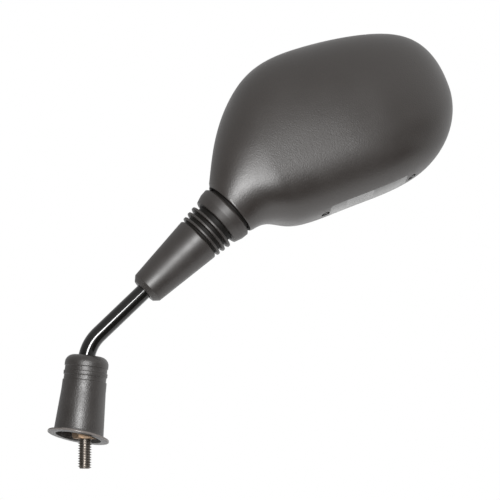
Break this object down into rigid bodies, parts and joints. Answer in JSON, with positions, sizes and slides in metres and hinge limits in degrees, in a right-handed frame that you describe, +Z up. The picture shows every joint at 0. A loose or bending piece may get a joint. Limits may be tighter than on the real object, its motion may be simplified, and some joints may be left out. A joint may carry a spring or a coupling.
{
  "type": "motorcycle mirror",
  "caption": "Left-hand motorcycle mirror: grained black housing on a bent steel stem with a rubber gaiter, a rubber base cover and an M8 stud with lock nut.",
  "frame": {"origin": "on the axis of the threaded stud, at the lower face of the lock nut", "axes": "+Z up along the stud, +X to the side the stem bends to, +Y out of the mirror glass"},
  "size_m": [0.25, 0.0405, 0.2728],
  "materials": {
    "gloss_black_steel": "gloss",
    "yellow_zinc": "satin",
    "cover_rubber": "fine grain",
    "gaiter_rubber": "satin",
    "ground_steel": "ground",
    "nylon": "smooth",
    "pressed_steel": "pressed",
    "clamp_plastic": "moulded",
    "screw_steel": "zinc plated",
    "washer_steel": "zinc plated",
    "housing_plastic": "fine moulded grain",
    "frame_plastic": "moulded",
    "foam": "open foam",
    "mirror_glass": "polished"
  },
  "bodies": {
    "stem": {"stem_rod": "gloss_black_steel", "pivot_ball": "ground_steel", "stem_gaiter": "gaiter_rubber"},
    "nut": {"lock_nut": "yellow_zinc"},
    "cover": {"base_cover": "cover_rubber"},
    "liner": {"ball_liner": "nylon"},
    "cup": {"socket_cup": "pressed_steel"},
    "head": {"socket_base": "clamp_plastic", "clamp_cap": "clamp_plastic", "clamp_screw_1": "screw_steel", "clamp_screw_2": "screw_steel", "clamp_screw_3": "screw_steel", "spring_washer_1": "washer_steel", "spring_washer_2": "washer_steel", "spring_washer_3": "washer_steel", "housing_shell": "housing_plastic", "glass_frame": "frame_plastic", "foam_pad": "foam", "mirror_glass": "mirror_glass"}
  },
  "joints": [
    {"name": "head_nod", "type": "hinge", "parent": "stem", "child": "liner", "pos_m": [0.09308, 0, 0.14647], "axis": [0.7009, 0, -0.7133], "range_deg": [-15, 15], "deforming": ["stem_gaiter"]},
    {"name": "head_sway", "type": "hinge", "parent": "liner", "child": "cup", "pos_m": [0.09308, 0, 0.14647], "axis": [0, 1, 0], "range_deg": [-15, 15], "deforming": ["stem_gaiter"]},
    {"name": "head_turn", "type": "hinge", "parent": "cup", "child": "head", "pos_m": [0.09308, 0, 0.14647], "axis": [0.7133, 0, 0.7009], "continuous": true},
    {"name": "cover_turn", "type": "hinge", "parent": "stem", "child": "cover", "pos_m": [0, 0, 0], "axis": [0, 0, 1], "continuous": true},
    {"name": "lock_nut_turn", "type": "hinge", "parent": "stem", "child": "nut", "pos_m": [0, 0, 0], "axis": [0, 0, 1], "continuous": true}
  ]
}
